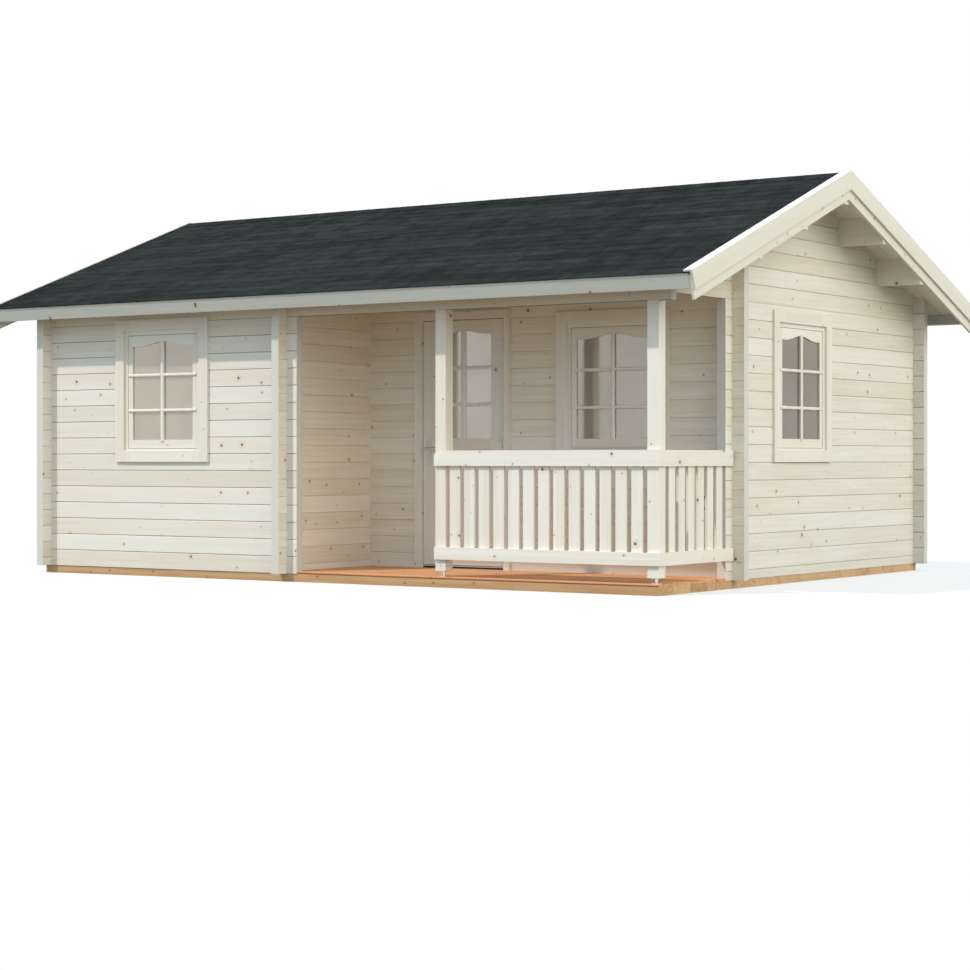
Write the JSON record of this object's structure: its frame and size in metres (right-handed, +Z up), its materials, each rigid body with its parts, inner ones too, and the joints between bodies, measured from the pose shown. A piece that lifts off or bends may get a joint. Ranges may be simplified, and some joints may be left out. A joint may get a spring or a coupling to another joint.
{
  "type": "log cabin",
  "caption": "Log cabin with notched corners, a shallow shingled gable roof, casement windows, a railed corner porch and a half-glazed door that opens outwards.",
  "frame": {"origin": "on the ground under the middle of the walls, which is also the middle of the roof", "axes": "+X along the front to the right, +Y from the porch to the rear wall, +Z up"},
  "size_m": [6.79, 5.016, 3.1636],
  "materials": {
    "log_pine": "bare planed softwood",
    "planed_pine": "bare planed softwood",
    "pale_boards": "pale planed boards",
    "treated_timber": "brown pressure-treated softwood",
    "deck_boards": "oiled boards",
    "floor_boards": "planed boards",
    "roof_shingle": "mineral-faced bitumen shingle",
    "zinc_steel": "zinc plated",
    "clear_glass": "clear"
  },
  "bodies": {
    "cabin": {"base_frame": "treated_timber", "porch_deck": "deck_boards", "room_floor": "floor_boards", "main_floor": "floor_boards", "front_wall": "log_pine", "porch_beam": "log_pine", "porch_side_wall": "log_pine", "door_wall_left": "log_pine", "door_wall_right": "log_pine", "door_wall_top": "log_pine", "left_wall": "log_pine", "right_wall": "log_pine", "right_gable": "log_pine", "rear_wall": "log_pine", "porch_posts": "planed_pine", "post_feet": "zinc_steel", "front_railing": "planed_pine", "side_railing": "planed_pine", "purlins": "planed_pine", "roof_boards_front": "planed_pine", "roof_boards_rear": "planed_pine", "shingles_front": "roof_shingle", "shingles_rear": "roof_shingle", "ridge_shingles": "roof_shingle", "fascia_boards": "planed_pine", "barge_boards_front": "planed_pine", "barge_boards_rear": "planed_pine", "under_barges_front": "planed_pine", "under_barges_rear": "planed_pine", "verge_caps_front": "pale_boards", "verge_caps_rear": "pale_boards", "window_frames": "planed_pine", "window_sashes": "planed_pine", "window_glass": "clear_glass", "window_trims": "planed_pine", "door_frame": "planed_pine", "door_trim": "planed_pine", "hinge_pins": "zinc_steel"},
    "door": {"door_leaf": "planed_pine", "door_glass": "clear_glass", "door_hinges": "zinc_steel", "door_handle": "zinc_steel"}
  },
  "joints": [
    {"name": "door_hinge", "type": "hinge", "parent": "cabin", "child": "door", "pos_m": [0.95236, -1.145, 0], "axis": [0, 0, 1], "range_deg": [0, 110]}
  ]
}
